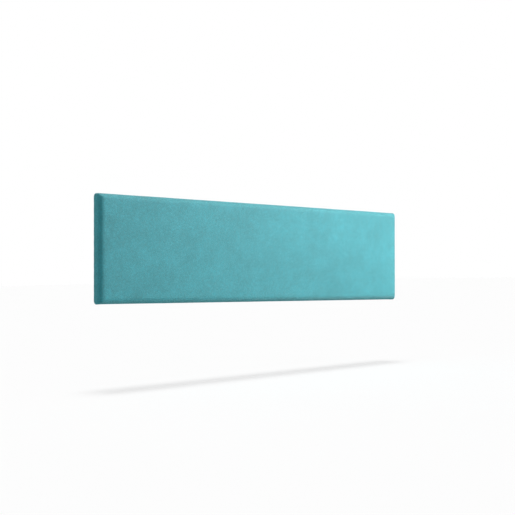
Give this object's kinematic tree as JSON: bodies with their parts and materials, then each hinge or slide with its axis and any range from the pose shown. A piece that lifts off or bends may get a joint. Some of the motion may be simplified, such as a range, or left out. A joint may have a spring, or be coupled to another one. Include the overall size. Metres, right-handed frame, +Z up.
{
  "type": "padded wall panel",
  "caption": "Long rectangular padded velour panel on a plywood board, hung flat on a wall by interlocking hook rails.",
  "frame": {"origin": "middle of the wall rail's line of screw holes, on the wall", "axes": "+X along the panel, +Y into the wall, +Z up; the padded front looks along -Y"},
  "size_m": [1.2, 0.0399, 0.3],
  "materials": {
    "turquoise_velour": "short pile velour, soft sheen",
    "polyester_wadding": "loose white fibre",
    "soft_foam": "open-cell foam, matt",
    "firm_foam": "closed-cell foam, matt",
    "plywood": "bare birch plywood, sanded",
    "black_nonwoven": "spunbonded cloth, matt",
    "label_ribbon": "woven ribbon, blank",
    "rail_aluminium": "anodised, drawn along its length",
    "zinc_steel": "zinc plated",
    "staple_wire": "galvanised wire",
    "bumper_rubber": "matt moulded rubber"
  },
  "bodies": {
    "wall_side": {"wall_rail": "rail_aluminium"},
    "panel": {"panel_rail": "rail_aluminium", "panel_rail_screws": "zinc_steel", "panel_rail_washers": "zinc_steel", "tee_nuts": "zinc_steel", "backboard": "plywood", "firm_underlay": "firm_foam", "soft_foam": "soft_foam", "wadding": "polyester_wadding", "velour_cover": "turquoise_velour", "cover_staples": "staple_wire", "dust_cover": "black_nonwoven", "dust_cover_staples": "staple_wire", "care_label": "label_ribbon", "label_staples": "staple_wire", "wall_bumper_left": "bumper_rubber", "wall_bumper_right": "bumper_rubber", "bumper_washers": "zinc_steel", "bumper_screws": "zinc_steel"}
  },
  "joints": [
    {"name": "lift", "type": "slide", "parent": "wall_side", "child": "panel", "axis": [0, 0, 1], "range_m": [0, 0.012]}
  ]
}
